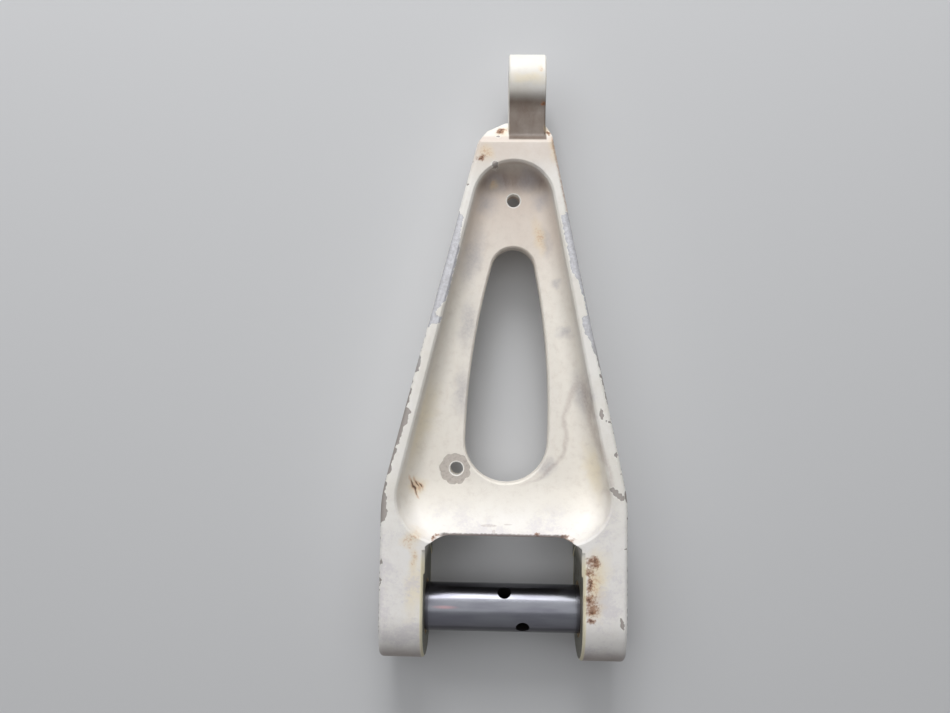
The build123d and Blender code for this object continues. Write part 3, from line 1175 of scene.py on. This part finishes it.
    def ear_inside(self, surface: Surface) -> tuple[Value, Value]:
        """Marks the machined inner faces of the ears, painted dark also for the shade between the ears, and
        the primer that shows round them.

        Args:
            surface: Place and direction of the point.

        Returns:
            The share of machined metal with painted shade, and the share of primer.
        """
        within = self.gap_wall.share(abs(surface.x)) * surface.y.fall(*self.gap_end)
        facing = abs(surface.toward_x).rise(*self.gap_facing)
        inner = abs(surface.z).fall(*self.gap_height)
        return facing * within * inner, within


@dataclass(frozen=True)
class PolishedSteel(Finish):
    """Ground and polished steel with wear rings where it runs in the ears, and a painted dark reflection on
    its lower front. Lengths are millimetres.
    """

    name: str = "polished_pin_steel"
    # Steel colours kept dark, as a painted reflection of dark surroundings.
    steel: Colour = paint(107, 108, 113)
    smoky: Colour = paint(94, 94, 101)
    # Painted shade for the inside of the hollow pin and its holes.
    inside: Colour = paint(46, 43, 41)
    wear_ring: Layer = Layer(paint(66, 64, 68), 0.45)
    # Painted dark reflection on the pin's lower front side.
    dark_reflection: Layer = Layer(paint(66, 64, 68), 0.90)
    streak: Layer = Layer(paint(150, 118, 120), 0.60)
    streak_marks: tuple[Patch, ...] = (Patch(-23.0, 2.1, 1.0, Lean.DASH),)
    streak_front: Spot = (0.0, 1.0)
    lines: Grain = Grain(0.12, 2.0, 0.7)
    smear: Grain = Grain(1.0, 2.0, 0.5, (0.06, 0.30, 0.30))
    bands: Grain = Grain(1.1, 2.0, 0.6)
    smoky_smear: Spot = (0.3, 0.7)
    ring_place: float = 30.4
    ring_reach: Spot = (0.8, 1.5)
    ring_bands: float = 0.9
    dark_reflection_end: Spot = (-9.5, 1.5)
    dark_reflection_front: Spot = (-3.0, 3.0)
    hollow_radius: Spot = (8.825, 9.275)
    hollow_start: Spot = (45.6, 46.2)
    line_height: float = 0.0010
    ring_height: float = 0.002
    roughness: float = 0.20
    smear_roughness: float = 0.03
    line_roughness: float = 0.05
    ring_roughness: float = 0.10
    hollow_roughness: float = 0.35

    def shade(self, graph: Graph, surface: Surface) -> bpy.types.Node:
        """Builds the steel.

        Args:
            graph: The material's nodes.
            surface: Place and direction of the shaded point.

        Returns:
            The shader node.
        """
        away = graph.reach(surface.y, surface.z)
        spun = graph.node("ShaderNodeCombineXYZ", {}, {"X": surface.x, "Y": away, "Z": 0.0}).outputs["Vector"]
        lines = self.lines.at(graph, spun)
        smear = self.smear.at(graph, surface.point)
        bands = self.bands.at(graph, spun)
        worn = abs(abs(surface.x) - self.ring_place) + bands * self.ring_bands
        worn = worn.fall(*self.ring_reach)
        tone = graph.mix(smear.rise(*self.smoky_smear), self.steel, self.smoky)
        tone = self.wear_ring.over(graph, worn, tone)
        # Painted reflection: the lower front of the pin is darkened.
        tone = self.dark_reflection.over(graph, surface.y.fall(*self.dark_reflection_end) * surface.z.rise(*self.dark_reflection_front), tone)
        streak = graph.inside(surface.point, self.streak_marks, Border.FADING).rise(0.0, 1.0)
        tone = self.streak.over(graph, streak * surface.z.rise(*self.streak_front), tone)
        # Painted shade: the inside of the hollow pin and its holes is darkened.
        hollow = away.fall(*self.hollow_radius) * abs(surface.x).fall(*self.hollow_start)
        tone = graph.mix(hollow, tone, self.inside)
        roughness = self.roughness + smear * self.smear_roughness + lines * self.line_roughness
        roughness = roughness + worn * self.ring_roughness + hollow * self.hollow_roughness
        height = lines * self.line_height + bands * self.ring_height * worn
        return graph.principled({
            "Base Color": tone,
            "Metallic": 1.0,
            "Roughness": roughness,
            "Normal": self.bump(graph, height),
        })


@dataclass(frozen=True)
class BushBronze(Finish):
    """Turned bronze, dulled by grease. Lengths are millimetres."""

    name: str = "turned_bush_bronze"
    bright: Colour = paint(178, 142, 88)
    dull: Colour = paint(120, 92, 58)
    blotch: Grain = Grain(2.4, 4.0, 0.6)
    dull_blotch: Spot = (0.35, 0.65)
    turned: Relief = Relief(Grain(1.0, 2.0, 0.6, (6.0, 0.3, 0.3)), 0.004)
    roughness: float = 0.30
    blotch_roughness: float = 0.2

    def shade(self, graph: Graph, surface: Surface) -> bpy.types.Node:
        """Builds the bronze.

        Args:
            graph: The material's nodes.
            surface: Place and direction of the shaded point.

        Returns:
            The shader node.
        """
        blotch = self.blotch.at(graph, surface.point)
        turned = self.turned.at(graph, surface.point)
        return graph.principled({
            "Base Color": graph.mix(blotch.rise(*self.dull_blotch), self.bright, self.dull),
            "Metallic": 1.0,
            "Roughness": self.roughness + blotch * self.blotch_roughness,
            "Normal": self.bump(graph, turned),
        })


@dataclass(frozen=True)
class MattFloor(Finish):
    """Pale matt floor that goes over into the ground behind the part, away from it."""

    name: str = "matt_floor"
    near: Colour = paint(214, 215, 217)
    far: Colour = paint(232, 234, 237)
    nothing: Colour = (0.0, 0.0, 0.0, 1.0)
    fade: Spot = (300.0, 850.0)
    roughness: float = 0.9

    def shade(self, graph: Graph, surface: Surface) -> bpy.types.Node:
        """Builds the floor.

        Args:
            graph: The material's nodes.
            surface: Place and direction of the shaded point.

        Returns:
            The shader node.
        """
        away = graph.reach(surface.x, surface.y).rise(*self.fade)
        return graph.principled({
            "Base Color": graph.mix(away, self.near, self.nothing),
            "Roughness": self.roughness,
            "Specular IOR Level": 0.0,
            "Emission Color": graph.mix(away, self.nothing, self.far),
            "Emission Strength": 1.0,
        })


@dataclass
class Assembly:
    """A part of the object that the frame already carries."""

    nodes: tuple[str, ...]
    finish: Finish

    def dress(self) -> None:
        """Gives every node of the assembly its finish."""
        material = self.finish.material()
        for name in self.nodes:
            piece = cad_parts[name]
            for slot in piece.material_slots:
                slot.material = material
            LOG.info("%s wears %s", name, material.name)


@dataclass(frozen=True)
class Lamp:
    """A soft lamp that points at the middle of the part. Lengths are metres.

    Attributes:
        name: Name of the lamp.
        direction: From the part to the lamp.
        distance: Distance from the part.
        size: Width and height of the lamp.
        level: Brightness of a white surface that faces a small lamp, where 1 is white.
    """

    name: str
    direction: Triple
    distance: float
    size: Spot
    level: float

    def hang(self, middle: Triple) -> None:
        """Hangs the lamp.

        Args:
            middle: Place that it points at.
        """
        toward = Vector(self.direction).normalized()
        data = bpy.data.lights.new(self.name, "AREA")
        data.shape = "RECTANGLE"
        data.size, data.size_y = self.size
        data.energy = self.level * pi * pi * self.distance * self.distance
        lamp = bpy.data.objects.new(self.name, data)
        lamp.location = Vector(middle) + toward * self.distance
        lamp.rotation_euler = toward.to_track_quat("Z", "Y").to_euler()
        bpy.context.scene.collection.objects.link(lamp)


@dataclass(frozen=True)
class Studio:
    """A pale floor, soft lamps and the camera above the part. Lengths are metres, angles degrees."""

    floor_size: float = 8.0
    floor: MattFloor = MattFloor()
    ambient: float = 0.09
    middle: Triple = (0.0, 0.1, 0.0)
    lamps: tuple[Lamp, ...] = (
        Lamp("key_lamp", (-0.06, 0.885, 0.465), 1.1, (0.38, 0.72), 0.56),
        Lamp("fill_lamp", (-0.15, 0.44, 0.88), 1.4, (2.2, 2.2), 0.87),
    )
    camera_place: Triple = (-3.6704 * MM, 91.9463 * MM, 315.9388 * MM)
    camera_turn: Triple = (2.0, 1.58, 0.8)
    camera_lens: float = 28.8
    camera_sensor: float = 36.0
    camera_clip: Spot = (0.01, 100.0)

    def build(self) -> None:
        """Builds the floor, the world, the lamps and the camera."""
        self.lay_floor()
        self.light_world()
        for lamp in self.lamps:
            lamp.hang(self.middle)
        self.set_camera()

    def lay_floor(self) -> None:
        """Lays the plain floor under the part."""
        lowest = min(corner[2] for corner in cad_bounds)
        bpy.ops.mesh.primitive_plane_add(size=self.floor_size, location=(0.0, 0.0, lowest))
        floor = bpy.context.object
        floor.name = "floor"
        floor.data.materials.append(self.floor.material())

    def light_world(self) -> None:
        """Gives an even, dim light from all round, and a pale ground behind the part."""
        world = bpy.data.worlds.new("studio")
        bpy.context.scene.world = world
        world.use_nodes = True
        graph = Graph(world.node_tree)
        path = graph.node("ShaderNodeLightPath")
        seen = Value(graph, path.outputs["Is Camera Ray"]) + Value(graph, path.outputs["Is Glossy Ray"])
        seen = graph.least(seen + Value(graph, path.outputs["Is Transmission Ray"]), 1.0)
        light = graph.node("ShaderNodeBackground", {}, {"Color": self.floor.far, "Strength": self.ambient})
        ground = graph.node("ShaderNodeBackground", {}, {"Color": self.floor.far, "Strength": 1.0})
        either = {"Fac": seen, "Shader": light.outputs[0], "Shader_001": ground.outputs[0]}
        mixed = graph.node("ShaderNodeMixShader", {}, either)
        graph.node("ShaderNodeOutputWorld", {}, {"Surface": mixed.outputs[0]})

    def set_camera(self) -> None:
        """Sets the camera above the part."""
        data = bpy.data.cameras.new("camera")
        data.lens = self.camera_lens
        data.sensor_width = self.camera_sensor
        data.clip_start, data.clip_end = self.camera_clip
        camera = bpy.data.objects.new("camera", data)
        camera.location = self.camera_place
        camera.rotation_euler = Euler([radians(angle) for angle in self.camera_turn], "XYZ")
        bpy.context.scene.collection.objects.link(camera)
        bpy.context.scene.camera = camera


def main() -> None:
    """Dresses the part and builds the studio round it."""
    logging.basicConfig(level=logging.INFO, format="%(message)s")
    bpy.ops.object.select_all(action="DESELECT")
    assemblies = [
        Assembly(("knee_forging",), WornPaint()),
        Assembly(("pivot_pin",), PolishedSteel()),
        Assembly(("left_ear_bush", "right_ear_bush", "apex_bush"), BushBronze()),
    ]
    for assembly in assemblies:
        assembly.dress()
    Studio().build()
    bpy.context.scene.view_settings.view_transform = "Standard"


if __name__ == "__main__":
    main()
